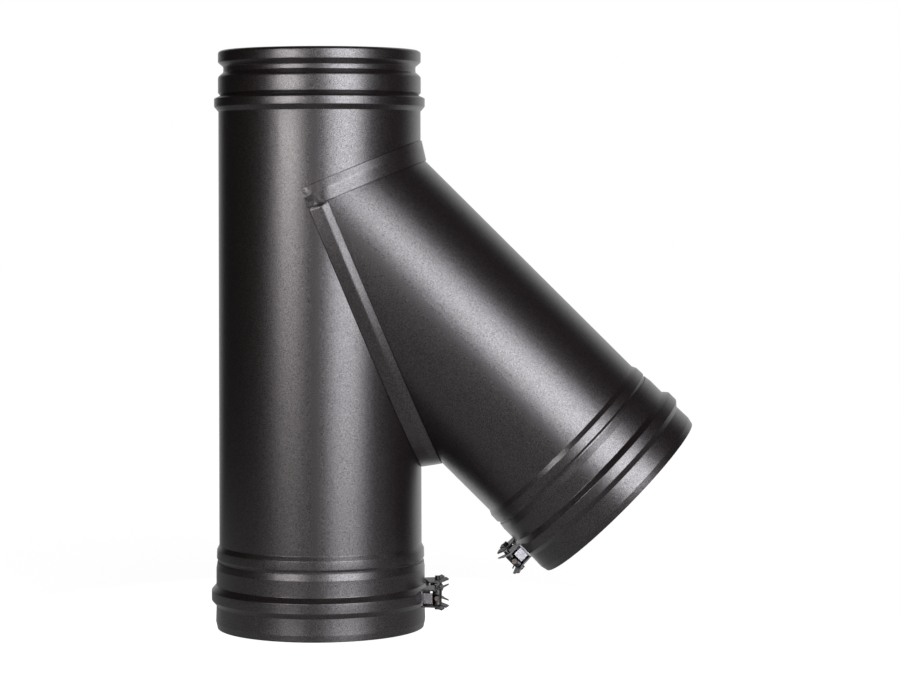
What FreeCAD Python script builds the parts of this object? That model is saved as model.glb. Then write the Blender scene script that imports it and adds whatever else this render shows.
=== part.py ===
import FreeCAD, Part
import math
import os

# An insulated twin-wall flue tee: an upright run, and an equal branch at forty-five degrees.
# Millimetres. The origin is the centre of the run's lower rim, +Z is up along the run, and the
# branch leaves the run towards +X and down.

# Driving dimensions: the tee as a whole
liner_bore = 150.0
liner_wall = 0.5
casing_diameter = 200.0
casing_wall = 0.6
branch_angle = 45.0
lower_leg = 423.0
upper_leg = 146.0
branch_leg = 418.0

# Driving dimensions: the rolled spigot end of the casing, measured down from its rim
lip_swell = 0.3
rim_inset = 3.0
lead_in = 1.5
lip_bend = 2.4
lip_end = 11.5
neck_depth = 5.2
neck_start = 16.1
neck_end = 21.4
belt_start = 25.9
belt_end = 41.8
groove_depth = 2.2
groove_start = 44.0
groove_end = 44.6
bead_height = 3.9
bead_bend = 1.6
bead_start = 47.2
bead_end = 55.3
spigot_end = 60.2

# Driving dimensions: the socket end of the casing, measured along the axis
socket_clearance = 0.3
swell_gap = 0.4
swell_height = 1.1
swell_flank = 3.5
swell_width = 7.5
swell_fade = 5.4

# Driving dimensions: the locking band
band_width = 65.0
band_wall = 0.6
band_clearance = 0.2
band_edge_length = 6.5
band_edge_taper = 1.0
band_flare = 0.5
rib_width = 9.6
rib_flank = 5.2
rib_height = 4.6
band_gap = 12.0

# Driving dimensions: the screw clamp on the band
lug_sheet = 1.4
lug_width = 17.5
lug_height = 19.5
lug_length = 29.0
lug_offset = 26.5
lug_tab_height = 10.0
lug_tab_width = 10.0
lug_tab_inset = 1.2
lug_flare_length = 7.0
lug_flare = 2.5
lug_seat_gap = 0.05
bolt_diameter = 6.0
bolt_height = 7.8
bolt_tail = 9.5
bolt_chamfer = 0.6
bolt_head_diameter = 10.0
bolt_head_height = 6.0
key_width = 5.0
key_depth = 3.0
washer_diameter = 12.0
washer_thickness = 1.2
barrel_diameter = 9.0
barrel_flat = 3.2
barrel_play = 0.2
journal_diameter = 5.0
journal_reach = 3.5
thread_play = 0.05
hole_play = 0.2
slot_play = 0.1

# Driving dimensions: the folded seam strips
strip_sheet = 0.8
strip_lift = 0.25
lower_strip_left = 9.0
lower_strip_right = 11.0
lower_strip_fold = 3.0
lower_ridge = 1.5
upper_strip_above = 14.4
upper_strip_below = 6.0
upper_strip_fold = 5.7
upper_ridge = 1.1
joggle_length = 15.0
ridge_fade = 12.0
bridging_turn = 0.15
strip_steps = 48

# Driving dimensions: the inner ends
liner_clearance = 0.2
liner_recess = 3.0
liner_socket_depth = 45.0
liner_stop_height = 2.5
liner_stop_width = 5.0
ring_wall = 0.6
ring_gap = 4.0
ring_flange = 4.5
ring_recess = 5.5
wool_gap = 0.15

# Places and radii that follow from them
X_AXIS = FreeCAD.Vector(1, 0, 0)
Y_AXIS = FreeCAD.Vector(0, 1, 0)
Z_AXIS = FreeCAD.Vector(0, 0, 1)
ORIGIN = FreeCAD.Vector(0, 0, 0)
half_angle = math.radians(branch_angle) / 2
crossing = FreeCAD.Vector(0, 0, lower_leg)
branch_way = FreeCAD.Vector(math.sin(2 * half_angle), 0, -math.cos(2 * half_angle))
lower_seam_way = FreeCAD.Vector(math.sin(half_angle), 0, -math.cos(half_angle))
upper_seam_way = FreeCAD.Vector(math.cos(half_angle), 0, math.sin(half_angle))
run_height = lower_leg + upper_leg
casing_r = casing_diameter / 2
spigot_r = casing_r + lip_swell
neck_r = spigot_r - neck_depth
bead_r = spigot_r + bead_height
socket_r = spigot_r + socket_clearance + casing_wall
band_edge_r = socket_r + band_clearance + band_wall
band_r = band_edge_r + band_edge_taper
rib_r = band_r + rib_height
rib_level = band_width / 2
bead_level = (bead_start + bead_end) / 2
socket_level = rib_level + bead_level - belt_end
swell_level = band_width + swell_gap
mate_rim_level = rib_level + bead_level
ring_level = mate_rim_level + ring_gap
liner_r = liner_bore / 2 + liner_wall
liner_socket_r = liner_r + liner_clearance + liner_wall
reach = 2 * (run_height + branch_leg)


def point(radius, level):
    return FreeCAD.Vector(radius, 0, level)


def rounded_edges(corners):
    """The edges of an open outline of (radius, level, bend) corners, with each bend as an arc."""
    edges = []
    start = point(*corners[0][:2])
    for before, corner, after in zip(corners, corners[1:], corners[2:]):
        here = point(*corner[:2])
        bend = corner[2]
        stop = here
        if bend > 0:
            back = (point(*before[:2]) - here).normalize()
            ahead = (point(*after[:2]) - here).normalize()
            half = back.getAngle(ahead) / 2
            inward = (back + ahead).normalize()
            stop = here + back * (bend / math.tan(half))
            crown = here + inward * (bend / math.sin(half) - bend)
            resume = here + ahead * (bend / math.tan(half))
        edges.append(Part.makeLine(start, stop))
        if bend > 0:
            edges.append(Part.Arc(stop, crown, resume).toShape())
            stop = resume
        start = stop
    edges.append(Part.makeLine(start, point(*corners[-1][:2])))
    return edges


def inner_corners(corners, wall):
    """The same outline one wall thickness nearer the axis, with level ends. It runs upwards."""
    ways = []
    for first, second in zip(corners, corners[1:]):
        ways.append((point(*second[:2]) - point(*first[:2])).normalize())
    moved = [(corners[0][0] - wall / ways[0].z, corners[0][1], 0)]
    for before, after, corner in zip(ways, ways[1:], corners[1:]):
        side = (before + after).normalize()
        normal = FreeCAD.Vector(-side.z, 0, side.x)
        shift = wall / math.sqrt((1 + before.dot(after)) / 2)
        turn = before.x * after.z - before.z * after.x
        bend = corner[2]
        if bend > 0:
            bend = bend - math.copysign(wall, turn)
        moved.append((corner[0] + normal.x * shift, corner[1] + normal.z * shift, bend))
    moved.append((corners[-1][0] - wall / ways[-1].z, corners[-1][1], 0))
    return moved


def rolled_sheet(corners, wall, sweep=360.0):
    """A sheet of even thickness, rolled about the Z axis from its outer outline."""
    inside = inner_corners(corners, wall)
    outer = rounded_edges(corners)
    inner = rounded_edges(inside)
    caps = [
        Part.makeLine(point(*corners[0][:2]), point(*inside[0][:2])),
        Part.makeLine(point(*corners[-1][:2]), point(*inside[-1][:2])),
    ]
    outline = Part.Wire(Part.sortEdges(outer + inner + caps)[0])
    return Part.Face(outline).revolve(ORIGIN, Z_AXIS, sweep)


def ring(inside, outside, low, high):
    """A plain ring about the Z axis."""
    body = Part.makeCylinder(outside, high - low, point(0, low), Z_AXIS)
    bore = Part.makeCylinder(inside, high - low, point(0, low), Z_AXIS)
    return body.cut(bore)


def branch_space():
    """The quarter between the two mitre planes, where the branch takes over from the run."""
    corners = [
        crossing,
        crossing + lower_seam_way * reach,
        crossing + (lower_seam_way + upper_seam_way) * reach,
        crossing + upper_seam_way * reach,
        crossing,
    ]
    face = Part.Face(Part.makePolygon(corners))
    face.translate(Y_AXIS * -casing_diameter)
    return face.extrude(Y_AXIS * (2 * casing_diameter))


def on_branch(shape):
    """Move what is modelled from its own rim upwards to the branch's end."""
    placed = shape.copy()
    placed.rotate(ORIGIN, Y_AXIS, -branch_angle)
    placed.translate(crossing + branch_way * branch_leg)
    return placed


def socket_corners():
    """The casing's socket end: a plain socket inside the band, then a swell that stops the band."""
    swell_r = socket_r + swell_height
    crest = swell_level + swell_flank
    return [
        (socket_r, socket_level, 0),
        (socket_r, swell_level, 0),
        (swell_r, crest, 0),
        (swell_r, crest + swell_width, 0),
        (casing_r, crest + swell_width + swell_fade, 0),
    ]


def spigot_corners():
    """The casing's spigot end: stop bead, groove, belt, neck and a lip rolled in at its rim."""
    groove_r = spigot_r - groove_depth
    return [
        (casing_r, run_height - spigot_end, 0),
        (bead_r, run_height - bead_end, bead_bend),
        (bead_r, run_height - bead_start, bead_bend),
        (groove_r, run_height - groove_end, 0),
        (groove_r, run_height - groove_start, 0),
        (spigot_r, run_height - belt_end, 0),
        (spigot_r, run_height - belt_start, 0),
        (neck_r, run_height - neck_end, 0),
        (neck_r, run_height - neck_start, 0),
        (spigot_r, run_height - lip_end, 0),
        (spigot_r, run_height - lead_in, lip_bend),
        (spigot_r - rim_inset, run_height, 0),
    ]


def main_casing():
    tube = rolled_sheet(socket_corners() + spigot_corners(), casing_wall)
    return tube.cut(branch_space())


def branch_casing():
    tube = rolled_sheet(socket_corners() + [(casing_r, branch_leg, 0)], casing_wall)
    return on_branch(tube).common(branch_space())


def liner_corners(top):
    """A liner from its spigot end, past the stop bead, to the given level."""
    stop = ring_level - liner_stop_width
    middle = stop + liner_stop_width / 2
    return [
        (liner_r, socket_level, 0),
        (liner_r, stop, 0),
        (liner_r + liner_stop_height, middle, 0),
        (liner_r, ring_level, 0),
        (liner_r, top, 0),
    ]


def main_liner():
    rim = run_height - liner_recess
    step = liner_socket_r - liner_r
    corners = liner_corners(rim - liner_socket_depth - step)
    corners.append((liner_socket_r, rim - liner_socket_depth, 0))
    corners.append((liner_socket_r, rim, 0))
    return rolled_sheet(corners, liner_wall).cut(branch_space())


def branch_liner():
    tube = rolled_sheet(liner_corners(branch_leg), liner_wall)
    return on_branch(tube).common(branch_space())


def end_ring(inside, outside):
    """A flat closing ring at level zero, with a flange turned up at each edge."""
    plate = ring(inside, outside, 0, ring_wall)
    inner = ring(inside, inside + ring_wall, 0, ring_flange)
    outer = ring(outside - ring_wall, outside, 0, ring_flange)
    return plate.fuse([inner, outer]).removeSplitter()


def socket_end_ring():
    closing = end_ring(liner_r + wool_gap, casing_r - casing_wall - wool_gap)
    closing.translate(point(0, ring_level))
    return closing


def spigot_end_ring():
    closing = end_ring(liner_socket_r + wool_gap, spigot_r - casing_wall - wool_gap)
    closing.rotate(ORIGIN, X_AXIS, 180)
    closing.translate(point(0, run_height - ring_recess))
    return closing


def wool(top):
    """The wool sleeve from above the lower closing ring up to the given level."""
    inside = liner_r + wool_gap
    outside = casing_r - casing_wall - wool_gap
    return ring(inside, outside, ring_level + ring_flange, top)


def main_insulation():
    waist = run_height - spigot_end
    top = run_height - ring_recess - ring_flange
    neck = ring(liner_socket_r + wool_gap, neck_r - casing_wall - wool_gap, waist, top)
    socket_foot = run_height - liner_recess - liner_socket_depth - (liner_socket_r - liner_r)
    liner_socket = Part.makeCylinder(liner_socket_r + wool_gap, reach, point(0, socket_foot), Z_AXIS)
    sleeve = wool(waist).cut(liner_socket)
    return sleeve.fuse(neck).removeSplitter().cut(branch_space())


def branch_insulation():
    return on_branch(wool(branch_leg)).common(branch_space())


class Seam:
    """The line where two tubes meet, in the plane halfway between their axes.

    lean is the angle between that plane and the tubes' axes, and branch_side says whether the
    branch lies on the positive or the negative side of the seam.
    """

    def __init__(self, along, across, lean, branch_side):
        self.along = along
        self.across = across
        self.slope = math.cos(lean) / math.sin(lean)
        self.rise = 1 / math.sin(lean)
        self.branch_side = branch_side


class Strip:
    """A folded strip over a seam: offsets across it, where it begins, and the height of its ridge.

    The strip bridges the valley between the tubes, and its fold stands out as a ridge at the front
    and the back. Up to the place named by crest the strip lies over another one. Up to the place
    named by tuck it lies under another one, and its ridge starts from there.
    """

    def __init__(self, seam, offsets, begin, ridge, crest=None, tuck=None):
        self.seam = seam
        self.offsets = offsets
        self.begin = begin
        self.ridge = ridge
        self.crest = crest
        self.tuck = tuck

    def fold_lift(self):
        """How far along the seam the fold moves from the valley to the line between the edges."""
        low, fold, high = self.offsets
        share = (fold - low) / (high - low)
        chord = abs(low) + (abs(high) - abs(low)) * share
        return self.seam.slope * (chord - abs(fold))


def eased(share):
    """Zero below zero, one above one, and an S-curve in between."""
    held = min(max(share, 0), 1)
    return held * held * (3 - 2 * held)


def overlap_rise(strip, along):
    """How far the strip stands up where it crosses the other one, eased down past the crossing."""
    if strip.crest is None:
        return 0.0
    return (strip_sheet + strip_lift) * (1 - eased((along - strip.crest) / joggle_length))


def ridge_rise(strip, along, turn):
    """How far the fold stands out of the line between the edges."""
    rise = strip.ridge * abs(math.cos(turn))
    if strip.tuck is not None:
        rise = rise * eased((along - strip.tuck) / ridge_fade)
    return rise


def strip_edge(strip, offset, lift):
    """One lengthwise line of a strip, as a curve from the front corner round to the back one.

    side is the distance from the tube's axis, seen along Y. Beyond the crossing of the two seams
    the branch has ended, so there an edge on its side lies on the run. The points of the curve are
    closer together near its ends, where the strips cross.
    """
    seam = strip.seam
    is_fold = offset == strip.offsets[1]
    shift = seam.slope * abs(offset)
    start = math.asin((strip.begin - shift) / (casing_r * seam.rise))
    places = []
    for index in range(strip_steps + 1):
        share = (1 - math.cos(math.pi * index / strip_steps)) / 2
        turn = start + (math.pi - 2 * start) * share
        side = casing_r * math.sin(turn)
        along = side * seam.rise + shift
        if along < 0 < offset * seam.branch_side:
            side = side + 2 * shift / seam.rise
        height = lift + overlap_rise(strip, along)
        width = math.copysign(math.sqrt(casing_r**2 - side**2), math.cos(turn))
        width = width * (casing_r + height) / casing_r
        along = along + height * math.sin(turn)
        if is_fold:
            along = along + strip.fold_lift() * eased(math.sin(turn) / bridging_turn)
            ridge = ridge_rise(strip, along, turn)
            facing = math.hypot(math.sin(turn) / seam.rise, math.cos(turn))
            along = along + ridge * math.sin(turn) / seam.rise / facing
            width = width + ridge * math.cos(turn) / facing
        places.append(crossing + seam.along * along + seam.across * offset - Y_AXIS * width)
    curve = Part.BSplineCurve()
    curve.interpolate(places)
    return curve.toShape()


def seam_strip(strip):
    """The solid of a folded strip, from ruled faces between its lengthwise edges."""
    inner = []
    outer = []
    for offset in strip.offsets:
        inner.append(strip_edge(strip, offset, strip_lift))
        outer.append(strip_edge(strip, offset, strip_lift + strip_sheet))
    faces = [
        Part.makeRuledSurface(inner[0], inner[1]),
        Part.makeRuledSurface(inner[1], inner[2]),
        Part.makeRuledSurface(outer[0], outer[1]),
        Part.makeRuledSurface(outer[1], outer[2]),
        Part.makeRuledSurface(inner[0], outer[0]),
        Part.makeRuledSurface(inner[2], outer[2]),
    ]
    for end in (0, -1):
        for first, second in ((0, 1), (1, 2)):
            inside = Part.makeLine(inner[first].Vertexes[end].Point, inner[second].Vertexes[end].Point)
            outside = Part.makeLine(outer[first].Vertexes[end].Point, outer[second].Vertexes[end].Point)
            faces.append(Part.makeRuledSurface(inside, outside))
    shell = Part.Shell(faces)
    shell.sewShape()
    solid = Part.Solid(shell)
    if solid.Volume < 0:
        solid.reverse()
    return solid


def lower_seam_strip():
    seam = Seam(lower_seam_way, upper_seam_way, half_angle, 1)
    offsets = (-lower_strip_left, lower_strip_fold, lower_strip_right)
    return seam_strip(Strip(seam, offsets, 0.0, lower_ridge, tuck=upper_strip_below))


def upper_seam_strip():
    seam = Seam(upper_seam_way, lower_seam_way * -1, math.pi / 2 - half_angle, -1)
    offsets = (-upper_strip_below, upper_strip_fold, upper_strip_above)
    begin = -lower_strip_left
    return seam_strip(Strip(seam, offsets, begin, upper_ridge, crest=lower_strip_right))


def locking_band():
    """The split band, modelled about its rib at level zero, with its gap towards +X.

    Its lower side is the one that widens a little towards the tee's rim.
    """
    half = band_width / 2
    shoulder = half - band_edge_length
    foot = rib_width / 2 + rib_flank
    corners = [
        (band_edge_r, -half, 0),
        (band_r + band_flare, -shoulder, 0),
        (band_r, -foot, 0),
        (rib_r, -rib_width / 2, 0),
        (rib_r, rib_width / 2, 0),
        (band_r, foot, 0),
        (band_r, shoulder, 0),
        (band_edge_r, half, 0),
    ]
    gap_angle = math.degrees(band_gap / rib_r)
    band = rolled_sheet(corners, band_wall, 360 - gap_angle)
    band.rotate(ORIGIN, Z_AXIS, gap_angle / 2)
    return band


def block(x_low, x_high, y_low, y_high, z_low, z_high):
    size = (x_high - x_low, y_high - y_low, z_high - z_low)
    return Part.makeBox(*size, FreeCAD.Vector(x_low, y_low, z_low))


def lug_turn():
    """How far round the band a lug sits from the gap, in degrees."""
    return math.degrees(lug_offset / rib_r)


def barrel_place(side):
    """Where the clamp's bolt passes over the middle of the lug on the given side."""
    height = rib_r + bolt_height
    return FreeCAD.Vector(height, side * height * math.tan(math.radians(lug_turn())), 0)


def lug_cheek():
    """The channel's upper cheek: a flat plate that flares outwards at its tip."""
    foot = rib_r / 2
    flat = rib_r + lug_height - lug_flare_length
    tip = rib_r + lug_height
    outer = lug_width / 2
    inner = outer - lug_sheet
    corners = [
        point(foot, inner),
        point(flat, inner),
        point(tip, inner + lug_flare),
        point(tip, outer + lug_flare),
        point(flat, outer),
        point(foot, outer),
        point(foot, inner),
    ]
    cheek = Part.Face(Part.makePolygon(corners)).extrude(Y_AXIS * lug_length)
    cheek.translate(Y_AXIS * (-lug_length / 2))
    return cheek


def lug_slots():
    """The open slots that the journals of a cross pin drop into, one through each cheek."""
    half = journal_diameter / 2 + slot_play
    span = lug_width / 2 + lug_flare
    bottom = barrel_place(1).Length
    seat = Part.makeCylinder(half, 2 * span, point(bottom, -span), Z_AXIS)
    return block(bottom, 2 * rib_r, -half, half, -span, span).fuse(seat)


def lug(side):
    """A channel welded on the rib: curved web, two slotted cheeks and a narrower end tab."""
    base_r = rib_r + lug_seat_gap
    end = lug_length / 2
    edge = lug_width / 2
    tab_edge = lug_tab_width / 2
    tab_end = end - lug_tab_inset
    sector = block(rib_r / 2, 2 * rib_r, -end, end, -edge, edge)
    web = ring(base_r, base_r + lug_sheet, -edge, edge).common(sector)
    cheek = lug_cheek()
    tab_start = tab_end - lug_sheet
    tab = block(rib_r / 2, rib_r + lug_tab_height, tab_start, tab_end, -tab_edge, tab_edge)
    channel = web.fuse([cheek, cheek.mirror(ORIGIN, Z_AXIS), tab]).removeSplitter()
    channel = channel.cut(Part.makeCylinder(base_r, lug_width, point(0, -edge), Z_AXIS))
    channel = channel.cut(lug_slots())
    if side < 0:
        channel.rotate(ORIGIN, X_AXIS, 180)
    channel.rotate(ORIGIN, Z_AXIS, side * lug_turn())
    return channel


def cross_barrel(side, bore_r, flat_side):
    """A cross pin with a thick middle, drilled for the bolt, and journals in the lug's slots."""
    body_length = lug_width - 2 * lug_sheet - 2 * barrel_play
    pin_length = lug_width + 2 * journal_reach
    body = Part.makeCylinder(barrel_diameter / 2, body_length, point(0, -body_length / 2), Z_AXIS)
    pin = Part.makeCylinder(journal_diameter / 2, pin_length, point(0, -pin_length / 2), Z_AXIS)
    barrel = body.fuse(pin)
    bore_start = FreeCAD.Vector(0, -barrel_diameter, 0)
    barrel = barrel.cut(Part.makeCylinder(bore_r, 2 * barrel_diameter, bore_start, Y_AXIS))
    if flat_side:
        size = barrel_diameter
        barrel = barrel.cut(block(-size, size, barrel_flat, size, -pin_length, pin_length))
    barrel.translate(barrel_place(side))
    return barrel


def barrel_nut():
    return cross_barrel(-1, bolt_diameter / 2 + thread_play, False)


def barrel_sleeve():
    return cross_barrel(1, bolt_diameter / 2 + hole_play, True)


def washer_level():
    return barrel_place(1).y + barrel_flat


def bolt_washer():
    place = FreeCAD.Vector(barrel_place(1).x, washer_level(), 0)
    disc = Part.makeCylinder(washer_diameter / 2, washer_thickness, place, Y_AXIS)
    hole = Part.makeCylinder(bolt_diameter / 2 + hole_play, washer_thickness, place, Y_AXIS)
    return disc.cut(hole)


def hexagon(width):
    """A closed outline in the plane Y = 0, with this distance between its flats."""
    corners = []
    for index in range(7):
        angle = math.pi / 3 * index
        corners.append(point(math.cos(angle), math.sin(angle)) * (width / math.sqrt(3)))
    return Part.makePolygon(corners)


def clamp_bolt():
    """The clamp's socket-head screw, from its tail past the nut to its head on the washer."""
    radius = bolt_diameter / 2
    seat = Y_AXIS * (washer_level() + washer_thickness)
    tail = Y_AXIS * (barrel_place(-1).y - barrel_diameter / 2 - bolt_tail)
    tip = Part.makeCone(radius - bolt_chamfer, radius, bolt_chamfer, tail, Y_AXIS)
    shank_start = tail + Y_AXIS * bolt_chamfer
    shank = Part.makeCylinder(radius, (seat - shank_start).Length, shank_start, Y_AXIS)
    head = Part.makeCylinder(bolt_head_diameter / 2, bolt_head_height, seat, Y_AXIS)
    recess = Part.Face(hexagon(key_width)).extrude(Y_AXIS * key_depth)
    recess.translate(seat + Y_AXIS * (bolt_head_height - key_depth))
    bolt = shank.fuse([tip, head]).removeSplitter().cut(recess)
    bolt.translate(point(barrel_place(1).x, 0))
    return bolt


def on_run_end(shape):
    """Put a clamp piece, modelled about the rib, at the run's lower end."""
    placed = shape.copy()
    placed.translate(point(0, rib_level))
    return placed


def on_branch_end(shape):
    """Put a clamp piece, modelled about the rib, at the branch's end, with its clamp below."""
    placed = shape.copy()
    placed.rotate(ORIGIN, Y_AXIS, 180 - branch_angle)
    placed.translate(crossing + branch_way * (branch_leg - rib_level))
    return placed


def clamp_pieces():
    return {
        "locking_band": locking_band(),
        "near_lug": lug(-1),
        "far_lug": lug(1),
        "clamp_bolt": clamp_bolt(),
        "bolt_washer": bolt_washer(),
        "barrel_nut": barrel_nut(),
        "barrel_sleeve": barrel_sleeve(),
    }


def all_pieces():
    pieces = {
        "main_casing": main_casing(),
        "branch_casing": branch_casing(),
        "main_liner": main_liner(),
        "branch_liner": branch_liner(),
        "main_insulation": main_insulation(),
        "branch_insulation": branch_insulation(),
        "top_end_ring": spigot_end_ring(),
        "lower_end_ring": socket_end_ring(),
        "branch_end_ring": on_branch(socket_end_ring()),
        "lower_seam_strip": lower_seam_strip(),
        "upper_seam_strip": upper_seam_strip(),
    }
    for name, shape in clamp_pieces().items():
        pieces["run_" + name] = on_run_end(shape)
        pieces["branch_" + name] = on_branch_end(shape)
    pieces["branch_locking_band"] = on_branch_end(locking_band().mirror(ORIGIN, Z_AXIS))
    return pieces


os.makedirs("parts", exist_ok=True)
for name, shape in all_pieces().items():
    shape.exportStep("parts/" + name + ".step")
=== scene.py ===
import math

import bmesh
import bpy
from mathutils import Matrix, Vector, noise


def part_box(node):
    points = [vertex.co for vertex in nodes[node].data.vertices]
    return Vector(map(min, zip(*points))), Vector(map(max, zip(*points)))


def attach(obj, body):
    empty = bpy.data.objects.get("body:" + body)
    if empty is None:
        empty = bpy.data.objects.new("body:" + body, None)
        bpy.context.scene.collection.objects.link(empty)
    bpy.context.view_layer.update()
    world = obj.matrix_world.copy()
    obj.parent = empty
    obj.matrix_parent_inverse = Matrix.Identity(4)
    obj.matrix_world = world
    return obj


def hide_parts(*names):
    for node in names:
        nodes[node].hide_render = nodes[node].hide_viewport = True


# An insulated flue tee in black powder coat: an upright run and an equal branch at forty-five
# degrees. Sizes are in millimetres, as in the CAD model, and each piece is scaled to metres when
# its mesh is made. The origin is the centre of the run's lower rim, +Z is up along the run, and
# the branch leaves it towards +X and down.

MM = 0.001
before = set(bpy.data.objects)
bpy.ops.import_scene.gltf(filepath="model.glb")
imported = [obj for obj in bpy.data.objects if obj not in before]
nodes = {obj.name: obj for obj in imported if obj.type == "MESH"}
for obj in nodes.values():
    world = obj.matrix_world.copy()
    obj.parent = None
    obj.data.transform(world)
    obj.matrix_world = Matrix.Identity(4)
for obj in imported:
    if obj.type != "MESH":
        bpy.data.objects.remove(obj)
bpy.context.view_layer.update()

# The tee
branch_angle = math.radians(45)
lower_leg = 423.0
branch_leg = 418.0
run_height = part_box("main_casing")[1].z / MM
casing_r = 100.0
casing_wall = 0.6

# The casing's spigot end, measured down from its rim. A bend is a radius in the outline.
lip_swell = 0.3
rim_inset = 3.0
lead_in = 1.5
lip_bend = 2.4
lip_end = 11.5
lip_foot_bend = 1.6
neck_depth = 5.2
neck_start = 16.1
neck_end = 21.4
neck_bend = 2.0
belt_start = 25.9
belt_end = 41.8
belt_bend = 4.0
belt_foot_bend = 0.6
groove_depth = 2.2
groove_level = 44.3
groove_bend = 0.01
bead_height = 3.9
bead_start = 47.2
bead_end = 55.3
bead_bend = 1.2
bead_foot_bend = 1.6
spigot_end = 60.2
spigot_end_bend = 1.0
spigot_r = casing_r + lip_swell

# The casing's socket end, and the locking band round it
socket_clearance = 0.3
socket_r = spigot_r + socket_clearance + casing_wall
socket_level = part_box("main_casing")[0].z / MM
band_width = 65.0
band_wall = 0.6
band_clearance = 0.2
band_edge_r = socket_r + band_clearance + band_wall
band_edge_taper = 1.0
band_r = band_edge_r + band_edge_taper
band_edge_length = 6.5
band_flare = 0.5
band_bend = 1.2
rib_height = 4.6
rib_r = band_r + rib_height
rib_width = 9.6
rib_flank = 5.2
rib_level = band_width / 2
band_gap = 12.0

# The swell of the casing just past the band, with its crest on the band's side
crest_gap = 3.9
crest_level = band_width + crest_gap
crest_height = 1.35
crest_undercut = 2.2
crest_bend = 0.7
undercut_bend = 0.5
swell_width = 8.1
swell_flare = 0.3
swell_fade = 4.5
swell_bend = 1.2

# The folded seam strips
strip_sheet = 0.8
strip_lift = 0.25
strip_rim = 0.45
fold_bend = 1.6
lower_strip_left = 9.0
lower_strip_fold = 3.0
lower_strip_right = 11.0
lower_ridge = 1.5
upper_strip_below = 6.0
upper_strip_fold = 5.7
upper_strip_above = 14.4
upper_ridge = 1.1
joggle_length = 15.0
ridge_fade = 2.5
bridging_turn = 0.15

# The spot welds where the strips cross, as (along, offset) on the upper one, and the sheet's pucker
weld_spots = ((-6.0, -1.0), (-6.5, 10.5), (5.5, 0.0), (5.0, 11.0))
weld_radius = 2.8
weld_depth = 0.18
pucker_depth = 0.25
pucker_end = 13.0
pucker_fade = 6.0
pucker_waves = 0.21
pucker_in_depth = 0.05

# The clamps: the screw, and the tab across each lug's end
bolt_r = 3.0
bolt_height = 7.8
bolt_chamfer = 0.6
thread_pitch = 1.0
thread_depth = 0.35
plain_shank = 22.0
head_r = 5.0
head_height = 6.0
head_foot = 0.4
head_foot_inset = 0.2
head_bend = 0.7
knurl_depth = 0.12
key_r = 2.5
key_depth = 3.0
key_point_r = 0.3
key_point = 0.6
lug_tab_width = 10.0
tab_facing = 0.9
lug_edge = 0.25
washer_edge = 0.15
pin_edge = 0.3

# How finely the meshes are divided
tube_segments = 256
arc_steps = 5
strip_steps = 240
side_steps = 6
fold_steps = 3
bolt_sides = 24
thread_rows = 6
smooth_angle = math.radians(32)
edge_angle = math.radians(40)

# Directions and places that follow from the branch's angle
CROSSING = Vector((0, 0, lower_leg))
BRANCH_WAY = Vector((math.sin(branch_angle), 0, -math.cos(branch_angle)))
LOWER_WAY = Vector((math.sin(branch_angle / 2), 0, -math.cos(branch_angle / 2)))
UPPER_WAY = Vector((math.cos(branch_angle / 2), 0, math.sin(branch_angle / 2)))
BRANCH_END = Matrix.Translation(CROSSING + BRANCH_WAY * branch_leg)
ON_BRANCH = BRANCH_END @ Matrix.Rotation(-branch_angle, 4, "Y")
RUN_RIB = Matrix.Translation((0, 0, rib_level))
BRANCH_RIB = (
    Matrix.Translation(CROSSING + BRANCH_WAY * (branch_leg - rib_level))
    @ Matrix.Rotation(math.pi - branch_angle, 4, "Y")
)


# Outlines and sheets


def rounded(corners):
    """The points of an open outline of (radius, level, bend) corners, with its bends as arcs."""
    points = [Vector(corners[0][:2])]
    for before, corner, after in zip(corners, corners[1:], corners[2:]):
        here = Vector(corner[:2])
        back = (Vector(before[:2]) - here).normalized()
        ahead = (Vector(after[:2]) - here).normalized()
        half = back.angle(ahead) / 2
        centre = here + (back + ahead).normalized() * (corner[2] / math.sin(half))
        first = here + back * (corner[2] / math.tan(half)) - centre
        last = here + ahead * (corner[2] / math.tan(half)) - centre
        for step in range(arc_steps + 1):
            points.append(centre + first.slerp(last, step / arc_steps) * corner[2])
    points.append(Vector(corners[-1][:2]))
    return points


def lathe(points, gap=0.0):
    """A surface turned about the Z axis from a (radius, level) outline, open over a gap at +X."""
    bm = bmesh.new()
    columns = []
    for index in range(tube_segments + 1 if gap else tube_segments):
        angle = gap / 2 + (2 * math.pi - gap) * index / tube_segments
        across = Vector((math.cos(angle), math.sin(angle), 0))
        columns.append([bm.verts.new(across * p[0] + Vector((0, 0, p[1]))) for p in points])
    if not gap:
        columns.append(columns[0])
    for left, right in zip(columns, columns[1:]):
        for low in range(len(points) - 1):
            bm.faces.new((left[low], right[low], right[low + 1], left[low + 1]))
    return bm


def skin(rows, rims=()):
    """A closed solid through loops of points, with the second material along some of its edges."""
    bm = bmesh.new()
    loops = [[bm.verts.new(point) for point in row] for row in rows]
    for first, second in zip(loops, loops[1:]):
        for index in range(len(first)):
            following = (index + 1) % len(first)
            side = (first[index], second[index], second[following], first[following])
            bm.faces.new(side).material_index = int(index in rims)
    bm.faces.new(loops[0])
    bm.faces.new(reversed(loops[-1]))
    bmesh.ops.recalc_face_normals(bm, faces=bm.faces[:])
    return bm


def mitre(bm, keep_branch):
    """Cut a tube at the two mitre planes, and keep its part in the branch or in the run."""
    for way in (LOWER_WAY, UPPER_WAY):
        geometry = bm.verts[:] + bm.edges[:] + bm.faces[:]
        bmesh.ops.bisect_plane(bm, geom=geometry, plane_co=CROSSING, plane_no=way)
    spare = []
    for face in bm.faces:
        place = face.calc_center_median() - CROSSING
        in_branch = place.dot(LOWER_WAY) > 0 and place.dot(UPPER_WAY) > 0
        if in_branch != keep_branch:
            spare.append(face)
    bmesh.ops.delete(bm, geom=spare, context="FACES")


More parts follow.
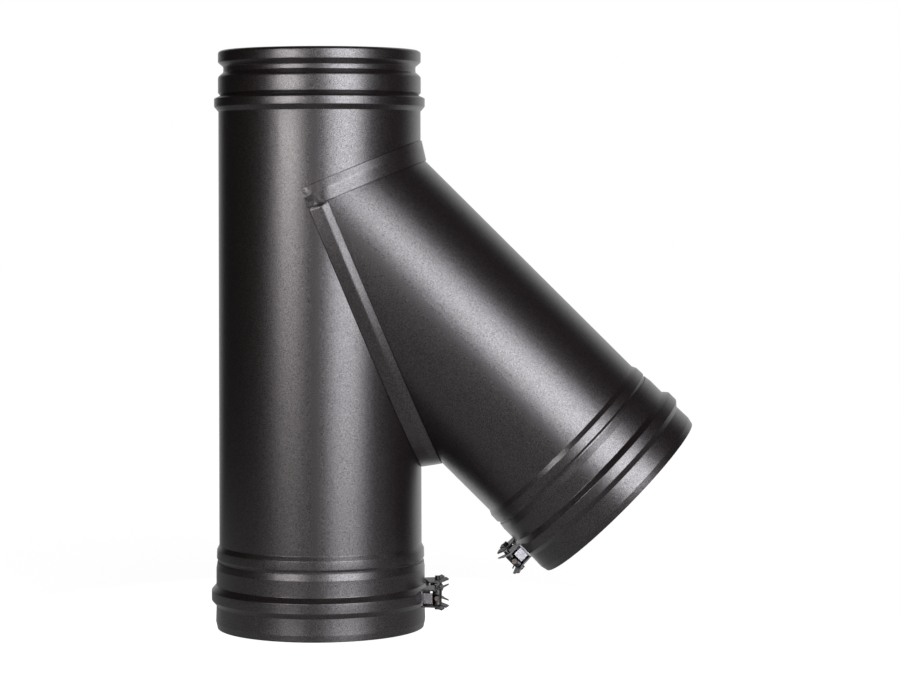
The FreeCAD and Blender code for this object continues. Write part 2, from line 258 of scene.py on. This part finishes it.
def smooth(mesh):
    """Shade a mesh smooth, apart from its sharp edges."""
    mesh.polygons.foreach_set("use_smooth", [True] * len(mesh.polygons))
    mesh.set_sharp_from_angle(angle=smooth_angle)


def add_piece(name, bm, material, node, wall=0.0):
    """Make a mesh object in metres, thicken it if it is a sheet, and let it stand for a node."""
    bm.transform(Matrix.Scale(MM, 4))
    mesh = bpy.data.meshes.new(name)
    bm.to_mesh(mesh)
    bm.free()
    piece = bpy.data.objects.new(name, mesh)
    bpy.context.scene.collection.objects.link(piece)
    if wall:
        thicken = piece.modifiers.new("Sheet", "SOLIDIFY")
        thicken.thickness = wall * MM
        thicken.offset = -1
        thicken.use_even_offset = True
        graph = bpy.context.evaluated_depsgraph_get()
        thick = bpy.data.meshes.new_from_object(piece.evaluated_get(graph))
        piece.modifiers.clear()
        piece.data = thick
    smooth(piece.data)
    piece.data.materials.clear()
    piece.data.materials.append(material)
    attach(piece, "root")
    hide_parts(node)
    return piece


# Casings and bands


def socket_corners():
    """The outline of a socket end up to its swell, from the end inside the band."""
    crest_r = socket_r + crest_height
    return [
        (socket_r, socket_level, 0),
        (socket_r, crest_level - crest_undercut, undercut_bend),
        (crest_r, crest_level, crest_bend),
        (crest_r - swell_flare, crest_level + swell_width, swell_bend),
        (casing_r, crest_level + swell_width + swell_fade, swell_bend),
    ]


def spigot_corners():
    """The outline of the spigot end, from the run up: stop bead, groove, belt, neck and lip."""
    bead_r = spigot_r + bead_height
    neck_r = spigot_r - neck_depth
    return [
        (casing_r, run_height - spigot_end, spigot_end_bend),
        (bead_r, run_height - bead_end, bead_foot_bend),
        (bead_r, run_height - bead_start, bead_bend),
        (spigot_r - groove_depth, run_height - groove_level, groove_bend),
        (spigot_r, run_height - belt_end, belt_foot_bend),
        (spigot_r, run_height - belt_start, belt_bend),
        (neck_r, run_height - neck_end, neck_bend),
        (neck_r, run_height - neck_start, neck_bend),
        (spigot_r, run_height - lip_end, lip_foot_bend),
        (spigot_r, run_height - lead_in, lip_bend),
        (spigot_r - rim_inset, run_height, 0),
    ]


def main_casing():
    """The run's outer tube, from its socket end up to its spigot end."""
    bm = lathe(rounded(socket_corners() + spigot_corners()))
    mitre(bm, False)
    return bm


def branch_casing():
    """The branch's outer tube, from its socket end to the mitre."""
    bm = lathe(rounded(socket_corners() + [(casing_r, branch_leg, 0)]))
    bm.transform(ON_BRANCH)
    mitre(bm, True)
    return bm


def locking_band(place, rim_side):
    """The split band round its rib. rim_side says whether the tee's rim is above or below the rib."""
    half = band_width / 2
    shoulder = half - band_edge_length
    foot = rib_width / 2 + rib_flank
    corners = [
        (band_edge_r, -half, 0),
        (band_r + band_flare * (rim_side < 0), -shoulder, band_bend),
        (band_r, -foot, band_bend),
        (rib_r, -rib_width / 2, band_bend),
        (rib_r, rib_width / 2, band_bend),
        (band_r, foot, band_bend),
        (band_r + band_flare * (rim_side > 0), shoulder, band_bend),
        (band_edge_r, half, 0),
    ]
    bm = lathe(rounded(corners), band_gap / rib_r)
    bm.transform(place)
    return bm


# Seam strips


def eased(share):
    """Zero below zero, one above one, and an S-curve in between."""
    held = min(max(share, 0), 1)
    return held * held * (3 - 2 * held)


class Strip:
    """A folded strip over a mitre seam.

    along and across are its directions, lean is the angle between the seam's plane and the tubes,
    branch_side says on which side of the seam the branch lies, and offsets are its three edges. It
    bridges the valley, and its fold stands out as a ridge. It lies over the other strip up to
    crest, and its ridge starts at tuck.
    """

    def __init__(self, along, across, lean, branch_side, offsets, begin, ridge, crest=None, tuck=None):
        self.along = along
        self.across = across
        self.slope = math.cos(lean) / math.sin(lean)
        self.rise = 1 / math.sin(lean)
        self.branch_side = branch_side
        self.offsets = offsets
        self.begin = begin
        self.ridge = ridge
        self.crest = crest
        self.tuck = tuck
        low, fold, high = offsets
        chord = abs(low) + (abs(high) - abs(low)) * (fold - low) / (high - low)
        self.fold_lift = self.slope * (chord - abs(fold))

    def fold_out(self, along, width, turn):
        """Move a place from the valley to the line between the strip's edges, and out to its ridge."""
        along += self.fold_lift * eased(math.sin(turn) / bridging_turn)
        ridge = self.ridge * abs(math.cos(turn))
        if self.tuck is not None:
            ridge *= eased((along - self.tuck) / ridge_fade)
        facing = math.hypot(math.sin(turn) / self.rise, math.cos(turn))
        along += ridge * math.sin(turn) / self.rise / facing
        return along, width + ridge * math.cos(turn) / facing

    def on_edge(self, share, offset, height):
        """A place on the tube under one lengthwise line of the strip, at this height above it."""
        shift = self.slope * abs(offset)
        start = math.asin((self.begin - shift) / (casing_r * self.rise))
        turn = start + (math.pi - 2 * start) * share
        side = casing_r * math.sin(turn)
        along = side * self.rise + shift
        if along < 0 < offset * self.branch_side:
            side += 2 * shift / self.rise
        if self.crest is not None:
            past = eased((along - self.crest) / joggle_length)
            height += (strip_sheet + strip_lift) * (1 - past)
        width = math.copysign(math.sqrt(casing_r**2 - side**2), math.cos(turn))
        width *= (casing_r + height) / casing_r
        along += height * math.sin(turn)
        if offset == self.offsets[1]:
            along, width = self.fold_out(along, width, turn)
        return CROSSING + self.along * along + self.across * offset - Vector((0, width, 0))

    def at(self, share, offset, height):
        """A place on the folded sheet, straight across each side and round at the fold."""
        low, fold, high = self.offsets
        crease = self.on_edge(share, fold, height)

        def straight(place):
            rim = low if place < fold else high
            near = (place - rim) / (fold - rim)
            return self.on_edge(share, rim, height).lerp(crease, near)

        near = (offset - fold) / fold_bend
        if abs(near) >= 1:
            return straight(offset)
        before = straight(fold - fold_bend)
        after = straight(fold + fold_bend)
        blend = (near + 1) / 2
        return before.lerp(crease, blend).lerp(crease.lerp(after, blend), blend)

    def dent(self, place):
        """How deep the sheet is pressed in by the welds of the crossing, at a place near it."""
        along = (place - CROSSING).dot(self.along)
        offset = (place - CROSSING).dot(self.across)
        depth = 0.0
        for weld_along, weld_offset in weld_spots:
            apart = math.hypot(along - weld_along, offset - weld_offset) / weld_radius
            depth += weld_depth * math.exp(-(apart**4))
        fade = min(max((pucker_end - along) / pucker_fade, 0), 1)
        waves = Vector((place.x, place.z, place.y * pucker_in_depth)) * pucker_waves
        return depth + pucker_depth * fade * noise.noise(waves)

    def dented(self, share, offset, height):
        """A place on the folded sheet. The strip that lies on the other one is dented by its welds."""
        place = self.at(share, offset, height)
        if self.crest is None:
            return place
        return self.at(share, offset, height - self.dent(place))

    def outline(self):
        """The sheet's closed section as (offset, height) points, with its rims broken."""
        low, fold, high = self.offsets
        inner = strip_lift
        outer = strip_lift + strip_sheet
        steps = range(1, side_steps)
        places = [low + strip_rim]
        places += [low + (fold - fold_bend - low) * step / side_steps for step in steps]
        places += [fold + fold_bend * step / fold_steps for step in range(-fold_steps, fold_steps + 1)]
        places += [high + (fold + fold_bend - high) * step / side_steps for step in reversed(steps)]
        places.append(high - strip_rim)
        points = [(low, inner), (low, outer - strip_rim)]
        points += [(place, outer) for place in places]
        points += [(high, outer - strip_rim), (high, inner)]
        points += [(place, inner) for place in reversed(places)]
        return points


def seam_strip(strip):
    """The strip's solid, with the second material on the narrow faces of its two long rims. That
    material is a darker, duller coat: painted shade for the gap along the rims.
    """
    outline = strip.outline()
    rows = []
    for step in range(strip_steps + 1):
        share = (1 - math.cos(math.pi * step / strip_steps)) / 2
        rows.append([strip.dented(share, offset, height) for offset, height in outline])
    top = len(outline) // 2
    return skin(rows, rims=(0, 1, top - 1, top))


def lower_seam_strip():
    """The strip over the lower seam, which runs on under the upper one."""
    offsets = (-lower_strip_left, lower_strip_fold, lower_strip_right)
    lean = branch_angle / 2
    tuck = upper_strip_below
    return seam_strip(Strip(LOWER_WAY, UPPER_WAY, lean, 1, offsets, 0.0, lower_ridge, tuck=tuck))


def upper_seam_strip():
    """The strip over the upper seam, with its ends on the lower one."""
    offsets = (-upper_strip_below, upper_strip_fold, upper_strip_above)
    lean = math.pi / 2 - branch_angle / 2
    begin = -lower_strip_left
    crest = lower_strip_right
    return seam_strip(Strip(UPPER_WAY, -LOWER_WAY, lean, -1, offsets, begin, upper_ridge, crest=crest))


# The clamp's screw


def thread_radius(along, share, length):
    """The screw's radius at a distance from its tail and a share of a turn."""
    turns = along / thread_pitch - share
    groove = thread_depth * (1 - abs(2 * (turns % 1) - 1))
    groove *= max(min((length - along) / thread_pitch, 1), 0)
    return min(bolt_r - groove, bolt_r - bolt_chamfer + along)


def thread(tail, seat):
    """The (level, radii) rows of the screw's thread and of its plain shank up to the head."""
    length = seat - plain_shank - tail
    count = int(length / thread_pitch * thread_rows)
    distances = [thread_pitch * row / thread_rows for row in range(count + 1)]
    rows = []
    for along in [*distances, seat - tail]:
        radii = [thread_radius(along, side / bolt_sides, length) for side in range(bolt_sides)]
        rows.append((tail + along, radii))
    return rows


def screw_head(seat):
    """The (level, radii) rows of the head: a knurled cylinder with a hexagon socket."""
    top = seat + head_height
    shoulder = head_bend * 0.3
    knurled = [head_r - knurl_depth * (side % 2) for side in range(bolt_sides)]
    hexagon = []
    for side in range(bolt_sides):
        within = (2 * math.pi * side / bolt_sides + math.pi / 6) % (math.pi / 3) - math.pi / 6
        hexagon.append(key_r / math.cos(within))
    return [
        (seat, [head_r - head_foot_inset] * bolt_sides),
        (seat + head_foot, knurled),
        (top - head_bend, knurled),
        (top - shoulder, [head_r - shoulder] * bolt_sides),
        (top, [head_r - head_bend] * bolt_sides),
        (top, hexagon),
        (top - key_depth, hexagon),
        (top - key_depth - key_point, [key_point_r] * bolt_sides),
    ]


def clamp_bolt(place):
    """A socket-head screw along Y, from its threaded tail to its head."""
    low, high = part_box("run_clamp_bolt")
    tail = low.y / MM
    seat = high.y / MM - head_height
    rows = []
    for level, radii in thread(tail, seat) + screw_head(seat):
        row = []
        for side, radius in enumerate(radii):
            angle = 2 * math.pi * side / bolt_sides
            row.append((radius * math.cos(angle), level, radius * math.sin(angle)))
        rows.append(row)
    bm = skin(rows)
    bm.transform(place @ Matrix.Translation((rib_r + bolt_height, 0, 0)))
    return bm


# Materials

# A noise texture's values lie mostly between these two.
noise_low = 0.3
noise_high = 0.7

# The powder coat: its noises in waves per metre, and its relief in metres
grain_waves = 2000
grain_sparkle = (0.16, 0.84)
grain_roughness = 0.08
grain_relief = 0.00005
peel_waves = 260
peel_share = 0.2
coat_dark = (0.0044, 0.0026, 0.0027)
coat_pale = (0.0066, 0.0040, 0.0041)


class Tree:
    """The node tree of a material or of the world."""

    def __init__(self, holder):
        holder.use_nodes = True
        self.nodes = holder.node_tree.nodes
        self.links = holder.node_tree.links

    def put(self, socket, value):
        """Link a socket to another node's output, or set it to a plain value."""
        if hasattr(value, "is_linked"):
            self.links.new(value, socket)
        else:
            socket.default_value = value

    def node(self, kind, *sources, **named):
        """A new node. Sources go to its inputs in order, and named values to settings or inputs."""
        made = self.nodes.new(kind)
        for name, value in named.items():
            if name[0].isupper():
                self.put(made.inputs[name], value)
            else:
                setattr(made, name, value)
        for index, source in enumerate(sources):
            self.put(made.inputs[index], source)
        return made

    def ramp(self, value, start, end, low, high):
        """From low, where the value is at its start, to high at its end."""
        return self.node("ShaderNodeMapRange", value, start, end, low, high).outputs["Result"]

    def maths(self, operation, *values):
        return self.node("ShaderNodeMath", *values, operation=operation).outputs["Value"]

    def vector(self, operation, *values):
        return self.node("ShaderNodeVectorMath", *values, operation=operation).outputs


class Shader(Tree):
    """A node material round one Principled shader, in the object's own coordinates."""

    def __init__(self, name, **values):
        self.material = bpy.data.materials.new(name)
        super().__init__(self.material)
        self.surface = self.nodes["Principled BSDF"]
        self.place = self.node("ShaderNodeTexCoord").outputs["Object"]
        self.feed(**values)

    def feed(self, **values):
        """Give the shader's own inputs their plain values or what varies over the surface."""
        for name, value in values.items():
            self.put(self.surface.inputs[name.replace("_", " ")], value)

    def noise(self, waves, detail, stretch=None):
        """Noise with so many waves per metre, or with its own number along each axis."""
        place = self.place
        if stretch:
            place = self.node("ShaderNodeMapping", Vector=place, Scale=stretch).outputs["Vector"]
        return self.node("ShaderNodeTexNoise", Vector=place, Scale=waves, Detail=detail).outputs["Fac"]

    def spread(self, value, low, high):
        """A noise's value, spread from low to high."""
        return self.ramp(value, noise_low, noise_high, low, high)

    def mix(self, share, first, second):
        blend = self.node("ShaderNodeMix", share, data_type="RGBA", A=(*first, 1), B=(*second, 1))
        return blend.outputs["Result"]

    def bump(self, height, depth):
        relief = self.node("ShaderNodeBump", Strength=1.0, Distance=depth, Height=height)
        self.feed(Normal=relief.outputs["Normal"])


def powder_coat(name, lightness=1.0, gloss=1.8, rough=0.29):
    """Black powder coat: a fine orange peel, with a sparkle where its grains stand proud."""
    shader = Shader(name, IOR=gloss)
    grain = shader.noise(grain_waves, detail=0.0)
    peel = shader.noise(peel_waves, detail=1.0)
    dark = [lightness * part for part in coat_dark]
    pale = [lightness * part for part in coat_pale]
    shader.feed(
        Specular_IOR_Level=shader.spread(grain, *grain_sparkle),
        Roughness=shader.spread(grain, rough, rough + grain_roughness),
        Base_Color=shader.mix(shader.spread(peel, 0.0, 1.0), dark, pale),
    )
    uneven = shader.maths("MULTIPLY", peel, peel_share)
    shader.bump(shader.maths("ADD", grain, uneven), grain_relief)
    return shader.material


def brushed_steel(name):
    """Bright stainless sheet with the fine lengthwise scratches of rolling."""
    shader = Shader(name, Metallic=1.0, IOR=2.5)
    scratches = shader.noise(1.0, detail=4.0, stretch=(2200, 2200, 25))
    clouds = shader.spread(shader.noise(14, detail=3.0), 0.0, 1.0)
    shader.feed(
        Roughness=shader.spread(scratches, 0.20, 0.36),
        Base_Color=shader.mix(clouds, (0.50, 0.49, 0.47), (0.60, 0.59, 0.57)),
    )
    shader.bump(scratches, depth=0.00002)
    return shader.material


def plated_steel(name, dark, pale, rough):
    """Plated steel of small hardware, a little uneven and rubbed."""
    shader = Shader(name, Metallic=1.0)
    marks = shader.noise(620, detail=4.0)
    clouds = shader.spread(shader.noise(110, detail=3.0), 0.0, 1.0)
    shader.feed(
        Base_Color=shader.mix(clouds, dark, pale),
        Roughness=shader.spread(marks, rough - 0.08, rough + 0.1),
    )
    shader.bump(marks, depth=0.00004)
    return shader.material


def mineral_wool(name):
    """Dull yellow-brown wool, with matted fibres."""
    shader = Shader(name, Roughness=0.95)
    fibres = shader.noise(1.0, detail=6.0, stretch=(260, 260, 1500))
    shader.feed(Base_Color=shader.mix(fibres, (0.24, 0.20, 0.12), (0.42, 0.37, 0.24)))
    shader.bump(fibres, depth=0.0012)
    return shader.material


casing_coat = powder_coat("casing_coat")
strip_coat = powder_coat("strip_coat", lightness=1.2)
band_coat = powder_coat("band_coat")
# Painted shade: a darker, duller coat for the strips' rims, standing in for the shadow in the gap under
# them.
rim_painted_shade = powder_coat("rim_painted_shade", lightness=0.6, gloss=1.3, rough=0.6)
lug_coat = powder_coat("lug_coat", gloss=1.55, rough=0.42)
liner_steel = brushed_steel("liner_steel")
ring_steel = brushed_steel("ring_steel")
screw_steel = plated_steel("screw_steel", dark=(0.10, 0.085, 0.075), pale=(0.22, 0.19, 0.17), rough=0.38)
tab_steel = plated_steel("tab_steel", dark=(0.13, 0.13, 0.136), pale=(0.20, 0.20, 0.206), rough=0.44)
pin_steel = plated_steel("pin_steel", dark=(0.05, 0.05, 0.052), pale=(0.10, 0.10, 0.102), rough=0.40)
wool_fibre = mineral_wool("wool_fibre")


# Pieces made here in place of their CAD nodes

for name, casing, node in (
    ("casing_run", main_casing(), "main_casing"),
    ("casing_branch", branch_casing(), "branch_casing"),
):
    add_piece(name, casing, casing_coat, node, casing_wall)
for name, strip, node in (
    ("seam_strip_low", lower_seam_strip(), "lower_seam_strip"),
    ("seam_strip_up", upper_seam_strip(), "upper_seam_strip"),
):
    sheet = add_piece(name, strip, strip_coat, node)
    # The rims take the painted-shade coat, which darkens the strips' edges as the gap's shadow would.
    sheet.data.materials.append(rim_painted_shade)
for end, place, rim_side in (("run", RUN_RIB, -1), ("branch", BRANCH_RIB, 1)):
    band = locking_band(place, rim_side)
    add_piece("band_" + end, band, band_coat, end + "_locking_band", band_wall)
    bolt = clamp_bolt(place)
    add_piece("screw_" + end, bolt, screw_steel, end + "_clamp_bolt")


# CAD nodes that keep their shape


def dress(node, material, edge=0.0):
    """Give a node its material, smooth shading and broken edges."""
    piece = nodes[node]
    piece.data.materials.clear()
    piece.data.materials.append(material)
    smooth(piece.data)
    if edge:
        broken = piece.modifiers.new("Edges", "BEVEL")
        broken.width = edge * MM
        broken.segments = 2
        broken.angle_limit = edge_angle
        broken.use_clamp_overlap = True
        broken.harden_normals = False


def bare_tab(node, place):
    """Leave the tab across a lug's end in bare plated steel."""
    mesh = nodes[node].data
    mesh.materials.append(tab_steel)
    axis = place.to_3x3() @ Vector((0, 0, 1))
    for face in mesh.polygons:
        level = (face.center / MM - place.translation).dot(axis)
        across = abs(face.normal.y) > tab_facing
        face.material_index = int(across and abs(level) < lug_tab_width / 2)


for node in ("main_liner", "branch_liner"):
    dress(node, liner_steel)
for node in ("top_end_ring", "lower_end_ring", "branch_end_ring"):
    dress(node, ring_steel)
for node in ("main_insulation", "branch_insulation"):
    dress(node, wool_fibre)
for end, place in (("run", RUN_RIB), ("branch", BRANCH_RIB)):
    for lug in (end + "_near_lug", end + "_far_lug"):
        dress(lug, lug_coat, lug_edge)
        bare_tab(lug, place)
    dress(end + "_bolt_washer", pin_steel, washer_edge)
    dress(end + "_barrel_nut", pin_steel, pin_edge)
    dress(end + "_barrel_sleeve", pin_steel, pin_edge)


# Floor, lights and camera, in metres. A fade is what Tree.ramp takes: start, end, low and high.

floor_r = 12.0
floor_sides = 96
floor_grey = (0.10, 0.10, 0.10, 1)
floor_roughness = 0.3
white = (1, 1, 1, 1)
seen_fade = (0.3, 1.2, 0.96, 1.0)
dim_fade = (0.6, 1.4, 0.22, 0.02)
sheen_fade = (0.15, 0.36, 0.33, 0.0)
backdrop_way = (0.20, 0.98, 0.0)
backdrop_fade = (0.62, 0.90, 0.0, 1.0)
room_level = 0.02
tee_middle = Vector((0.08, 0.0, 0.28))
cool_white = (0.971, 0.947, 1.0)
warm_white = (1.0, 0.945, 0.955)


def backdrop(tree, direction):
    """How much of the white backdrop behind the tee lies in this level direction."""
    facing = tree.vector("DOT_PRODUCT", direction, backdrop_way)["Value"]
    return tree.ramp(facing, *backdrop_fade)


def floor_paper():
    """Grey paper that keeps the object's shadow, and glows white towards the camera.

    In the coat's reflections it is dim round the tee, dark further out and white at the back. Near
    the tee it also has a soft sheen, from the lamps.
    """
    material = bpy.data.materials.new("floor_paper")
    tree = Tree(material)
    tree.nodes.clear()
    place = tree.node("ShaderNodeTexCoord").outputs["Object"]
    apart = tree.vector("LENGTH", place)["Value"]
    paths = tree.node("ShaderNodeLightPath").outputs
    seen = tree.maths("MULTIPLY", tree.ramp(apart, *seen_fade), paths["Is Camera Ray"])
    behind = backdrop(tree, tree.vector("NORMALIZE", place)["Vector"])
    mirrored = tree.maths("MAXIMUM", tree.ramp(apart, *dim_fade), behind)
    mirrored = tree.maths("MULTIPLY", mirrored, paths["Is Glossy Ray"])
    glow = tree.node("ShaderNodeEmission", white, tree.maths("ADD", seen, mirrored))
    grey = tree.node("ShaderNodeBsdfDiffuse", floor_grey)
    sheen = tree.node("ShaderNodeBsdfAnisotropic", tree.ramp(apart, *sheen_fade), floor_roughness)
    paper = tree.node("ShaderNodeAddShader", grey.outputs["BSDF"], sheen.outputs["BSDF"])
    both = tree.node("ShaderNodeAddShader", paper.outputs["Shader"], glow.outputs["Emission"])
    tree.node("ShaderNodeOutputMaterial", both.outputs["Shader"])
    return material


def floor():
    """A wide round floor under the tee."""
    mesh = bpy.data.meshes.new("floor")
    bm = bmesh.new()
    bmesh.ops.create_circle(bm, cap_ends=True, segments=floor_sides, radius=floor_r)
    bm.to_mesh(mesh)
    bm.free()
    mesh.materials.append(floor_paper())
    piece = bpy.data.objects.new("floor", mesh)
    bpy.context.scene.collection.objects.link(piece)


def studio_world():
    """White to the camera. To the object it is a dim room with a white backdrop behind it."""
    world = bpy.data.worlds.new("studio")
    bpy.context.scene.world = world
    tree = Tree(world)
    tree.nodes.clear()
    behind = backdrop(tree, tree.node("ShaderNodeTexCoord").outputs["Generated"])
    level = tree.maths("MAXIMUM", behind, room_level)
    seen = tree.maths("MAXIMUM", level, tree.node("ShaderNodeLightPath").outputs["Is Camera Ray"])
    light = tree.node("ShaderNodeBackground", white, seen).outputs["Background"]
    tree.node("ShaderNodeOutputWorld", light)


def soft_light(name, place, size, power, colour):
    """A rectangular soft light, turned towards the middle of the tee."""
    lamp = bpy.data.lights.new(name, "AREA")
    lamp.shape = "RECTANGLE"
    lamp.size, lamp.size_y = size
    lamp.energy = power
    lamp.color = colour
    holder = bpy.data.objects.new(name, lamp)
    holder.location = place
    facing = tee_middle - Vector(place)
    holder.rotation_euler = facing.to_track_quat("-Z", "Y").to_euler()
    bpy.context.scene.collection.objects.link(holder)


def camera():
    """A level camera with a long lens, in front of the tee and a little to its right."""
    lens = bpy.data.cameras.new("camera")
    lens.sensor_width = 36.0
    lens.lens = 107.1
    lens.shift_y = -0.1678
    holder = bpy.data.objects.new("camera", lens)
    holder.location = (0.129, -2.653, 0.434)
    holder.rotation_euler = (math.pi / 2, 0.0026, 0)
    bpy.context.scene.collection.objects.link(holder)
    bpy.context.scene.camera = holder


floor()
studio_world()
soft_light("key", place=(1.225, -2.0, 0.725), size=(1.48, 1.35), power=62.3, colour=cool_white)
soft_light("over", place=(1.225, -2.0, 1.750), size=(1.48, 0.70), power=8.2, colour=cool_white)
soft_light("side", place=(-1.206, -2.0, 0.680), size=(1.054, 0.20), power=24.0, colour=warm_white)
camera()
bpy.context.scene.view_settings.view_transform = "Standard"
